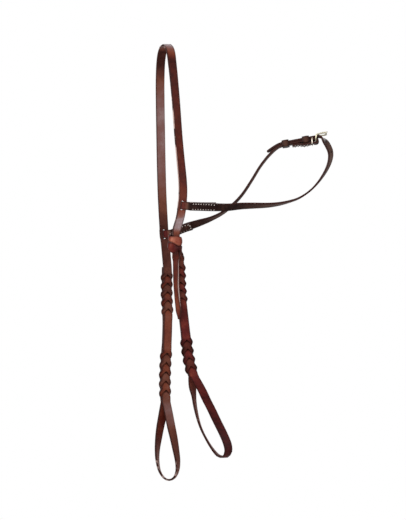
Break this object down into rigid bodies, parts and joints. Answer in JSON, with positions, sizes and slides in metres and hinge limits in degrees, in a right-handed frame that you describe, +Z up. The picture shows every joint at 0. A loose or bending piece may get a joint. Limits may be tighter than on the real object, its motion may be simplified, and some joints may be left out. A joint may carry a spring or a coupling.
{
  "type": "western headstall",
  "caption": "Leather headstall with bloodknotted cheeks, bit loops, a near cheek hitched round the crown strap, and a buckled throatlatch folded through slits in the legs.",
  "frame": {"origin": "inside top of the crown, where the poll or a rack peg carries the headstall", "axes": "+Z up along the hanging legs, +X to the horse's rear, -Y to the near side"},
  "size_m": [0.3131, 0.0926, 0.7646],
  "materials": {
    "harness_leather": "dark brown harness leather, smooth grain, burnished edges",
    "oiled_leather": "reddish brown oiled leather, smooth grain, burnished edges",
    "nickel": "dull nickel plate",
    "waxed_thread": "waxed natural thread"
  },
  "bodies": {
    "crown": {"crown_strap": "harness_leather"},
    "near_cheek": {"near_cheek_strap": "oiled_leather"},
    "throatlatch": {"off_throat_strap": "harness_leather", "near_throat_strap": "oiled_leather", "fixed_keeper": "harness_leather", "near_fold_inner_upper_stitches": "waxed_thread", "near_fold_inner_lower_stitches": "waxed_thread", "near_fold_outer_upper_stitches": "waxed_thread", "near_fold_outer_lower_stitches": "waxed_thread", "off_fold_inner_stitches": "waxed_thread", "off_fold_outer_stitches": "waxed_thread", "chape_stitches": "waxed_thread"},
    "buckle": {"buckle_frame": "nickel"},
    "tongue": {"buckle_tongue": "nickel"},
    "keeper": {"sliding_keeper": "harness_leather"}
  },
  "joints": [
    {"name": "knot_slide", "type": "slide", "parent": "crown", "child": "near_cheek", "axis": [0, 0, -1], "range_m": [-0.004, 0.01]},
    {"name": "throat_swing", "type": "hinge", "parent": "crown", "child": "throatlatch", "pos_m": [0.02439, -0.035, -0.27895], "axis": [-0.3389, 0.7635, -0.5497], "range_deg": [-6, 7]},
    {"name": "buckle_rock", "type": "hinge", "parent": "throatlatch", "child": "buckle", "pos_m": [0.2588, -0.00075, -0.16661], "axis": [0.0385, 0.9789, -0.2007], "range_deg": [-8, 5]},
    {"name": "tongue_lift", "type": "hinge", "parent": "buckle", "child": "tongue", "pos_m": [0.2588, -0.00075, -0.16661], "axis": [0.0385, 0.9789, -0.2007], "range_deg": [-5, 0]},
    {"name": "keeper_slide", "type": "slide", "parent": "throatlatch", "child": "keeper", "axis": [0.9821, 0, 0.1883], "range_m": [-0.004, 0.004]}
  ]
}
